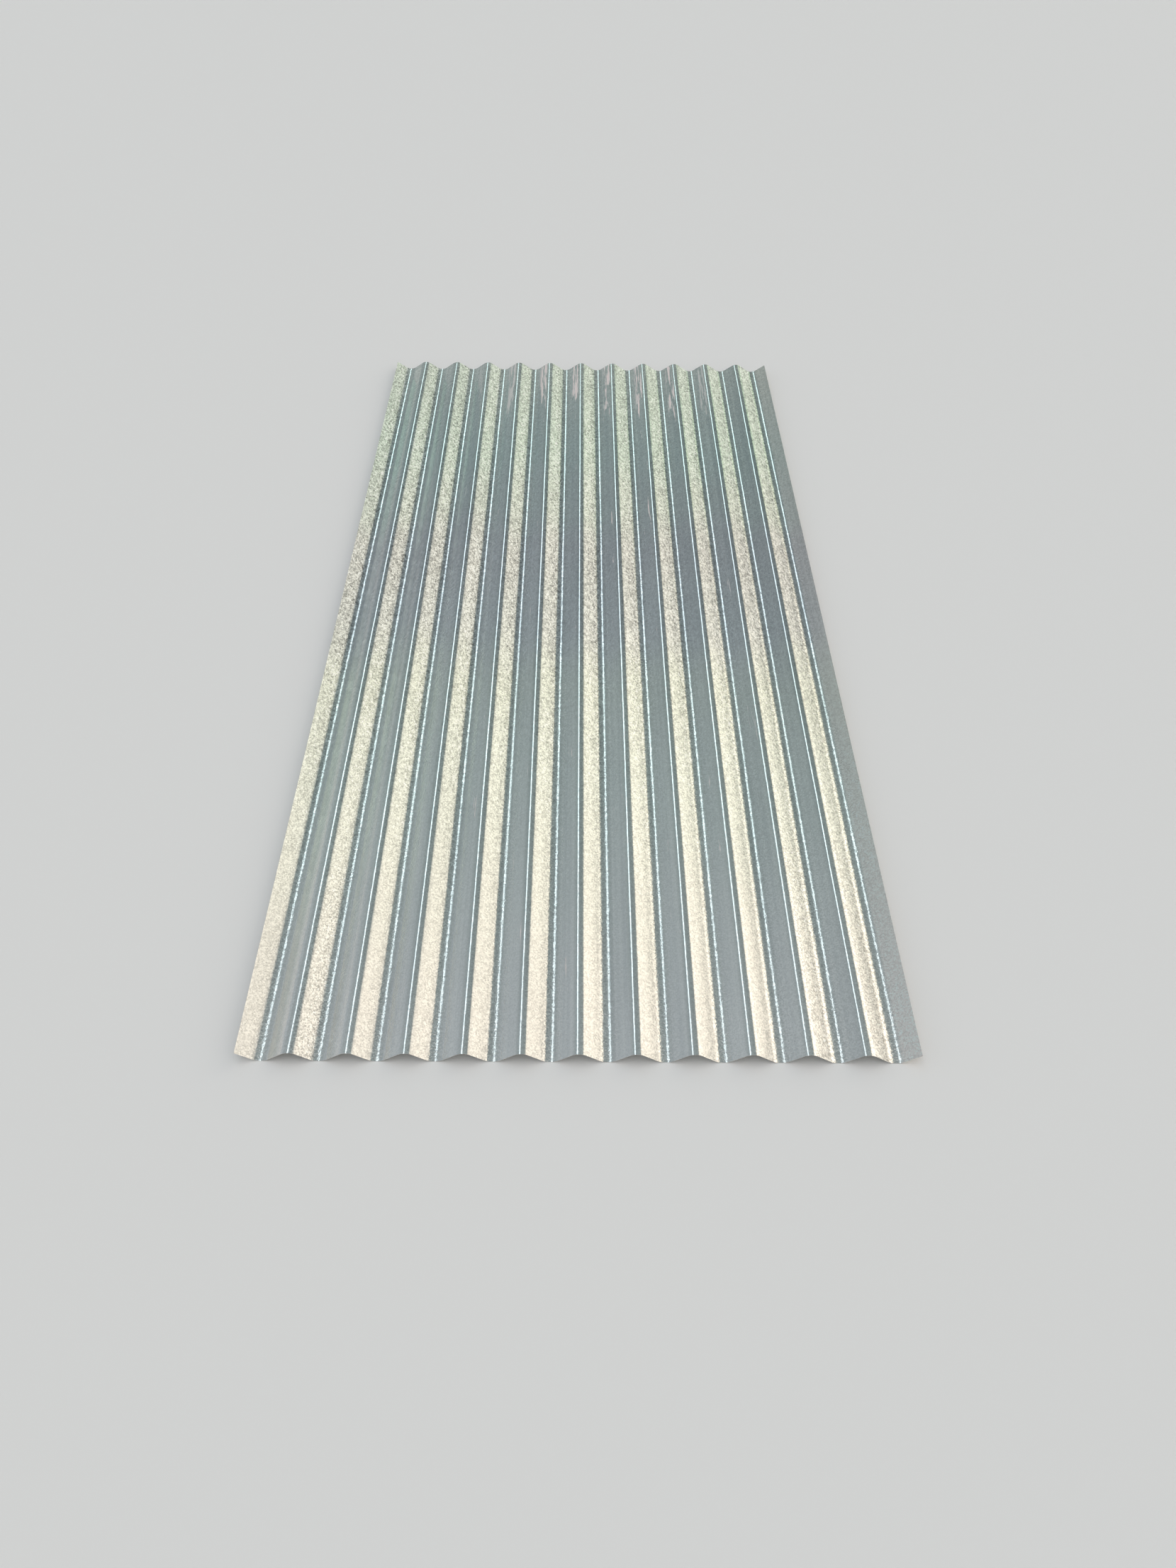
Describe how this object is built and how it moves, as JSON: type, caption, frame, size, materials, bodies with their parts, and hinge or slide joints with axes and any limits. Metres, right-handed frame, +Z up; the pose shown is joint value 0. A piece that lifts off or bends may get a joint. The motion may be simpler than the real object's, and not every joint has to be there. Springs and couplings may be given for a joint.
{
  "type": "corrugated metal sheet",
  "caption": "Corrugated galvanised steel sheet with even rounded waves along its length; laps over its neighbours to cover a roof, a wall or a fence.",
  "frame": {"origin": "on the floor under the middle of the sheet as it lies flat, trough side down", "axes": "+X across the waves, +Y along the waves and the sheet's length, +Z up out of the crests"},
  "size_m": [0.9, 2, 0.018],
  "materials": {
    "galvanised_steel": "bare galvanised steel, satin, with a fine crystalline grain"
  },
  "bodies": {
    "root": {"corrugated_sheet": "galvanised_steel"}
  },
  "joints": []
}
